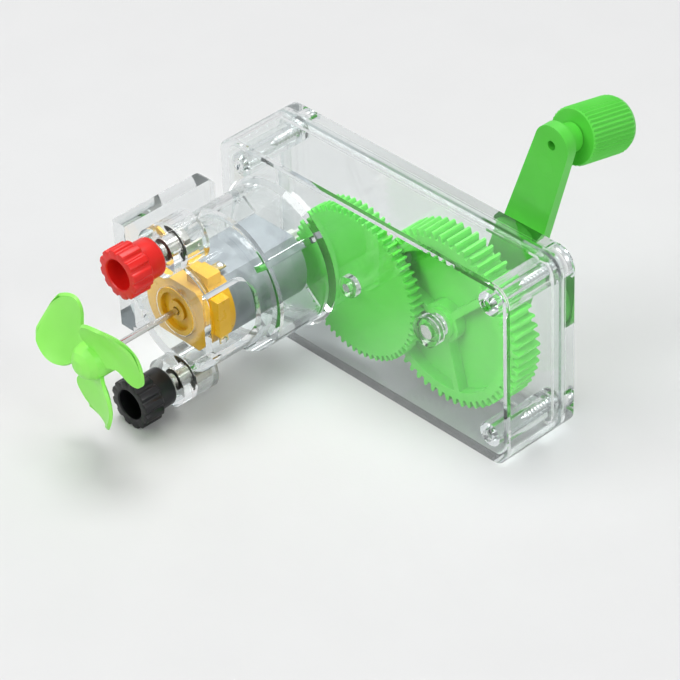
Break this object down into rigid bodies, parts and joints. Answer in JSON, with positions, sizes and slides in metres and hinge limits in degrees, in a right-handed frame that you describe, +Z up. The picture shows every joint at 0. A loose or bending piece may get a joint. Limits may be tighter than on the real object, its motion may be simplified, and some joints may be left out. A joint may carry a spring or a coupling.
{
  "type": "hand crank generator",
  "caption": "Clear gearbox with a crank, a visible gear train, a small motor used as a generator, a fan on its shaft and binding posts.",
  "frame": {"origin": "middle of the gearbox's flat bottom face, on which the generator stands", "axes": "+X along the gearbox from the motor to the crank, +Y from the fan and motor to the crank's knob, +Z up"},
  "size_m": [0.1227, 0.1451, 0.0982],
  "materials": {
    "clear_plastic": "clear moulded, glossy",
    "green_plastic": "moulded, satin gloss",
    "white_plastic": "moulded, satin",
    "yellow_plastic": "moulded, satin gloss",
    "red_plastic": "moulded, glossy",
    "black_plastic": "moulded, glossy",
    "steel": "bright",
    "can_steel": "zinc plated, satin",
    "core_steel": "stamped laminations",
    "nickel": "nickel plated",
    "brass": "bright",
    "bronze": "sintered, dull",
    "copper": "enamelled or bare copper",
    "ferrite": "ground"
  },
  "bodies": {
    "housing": {"front_shell": "clear_plastic", "rear_cover": "clear_plastic", "cover_screws": "steel", "idler_axle": "steel", "motor_can": "can_steel", "motor_end_cap": "yellow_plastic", "motor_bushes": "bronze", "motor_magnets": "ferrite", "motor_brushes": "copper", "motor_terminals": "brass", "red_stud": "brass", "black_stud": "brass", "post_nuts": "nickel", "post_lugs": "brass"},
    "crank": {"crank_gear": "green_plastic", "crank_axle": "steel", "crank_arm": "green_plastic", "crank_screw": "steel", "knob_screw": "steel"},
    "knob_grip": {"knob": "green_plastic"},
    "idler": {"idler_gear": "green_plastic"},
    "rotor": {"motor_shaft": "steel", "armature_core": "core_steel", "armature_windings": "copper", "commutator": "copper", "motor_pinion": "white_plastic", "fan": "green_plastic"},
    "red_carrier": {"red_washer": "nickel"},
    "red_post": {"red_cap": "red_plastic"},
    "black_carrier": {"black_washer": "nickel"},
    "black_post": {"black_cap": "black_plastic"}
  },
  "joints": [
    {"name": "crank_spin", "type": "hinge", "parent": "housing", "child": "crank", "pos_m": [0.0259, 0.0202, 0.032], "axis": [0, 1, 0], "continuous": true},
    {"name": "knob_spin", "type": "hinge", "parent": "crank", "child": "knob_grip", "pos_m": [0.04547, 0.0238, 0.09083], "axis": [0, 0.9763, -0.2164], "continuous": true},
    {"name": "idler_spin", "type": "hinge", "parent": "housing", "child": "idler", "pos_m": [-0.0071, 0, 0.032], "axis": [0, 1, 0], "continuous": true},
    {"name": "rotor_spin", "type": "hinge", "parent": "housing", "child": "rotor", "pos_m": [-0.0359, -0.0569, 0.032], "axis": [0, 1, 0], "continuous": true},
    {"name": "red_travel", "type": "slide", "parent": "housing", "child": "red_carrier", "axis": [0, -1, 0], "range_m": [0, 0.003]},
    {"name": "red_turn", "type": "hinge", "parent": "red_carrier", "child": "red_post", "pos_m": [-0.0359, -0.0636, 0.056], "axis": [0, -1, 0], "range_deg": [0, 1540]},
    {"name": "black_travel", "type": "slide", "parent": "housing", "child": "black_carrier", "axis": [0, -1, 0], "range_m": [0, 0.003]},
    {"name": "black_turn", "type": "hinge", "parent": "black_carrier", "child": "black_post", "pos_m": [-0.0359, -0.0636, 0.008], "axis": [0, -1, 0], "range_deg": [0, 1540]}
  ],
  "couplings": [
    {"joint": "idler_spin", "follows": "crank_spin", "ratio": -5.6},
    {"joint": "rotor_spin", "follows": "crank_spin", "ratio": 44.8},
    {"joint": "red_travel", "follows": "red_turn", "m_per_rad": 0.00011141},
    {"joint": "black_travel", "follows": "black_turn", "m_per_rad": 0.00011141}
  ]
}
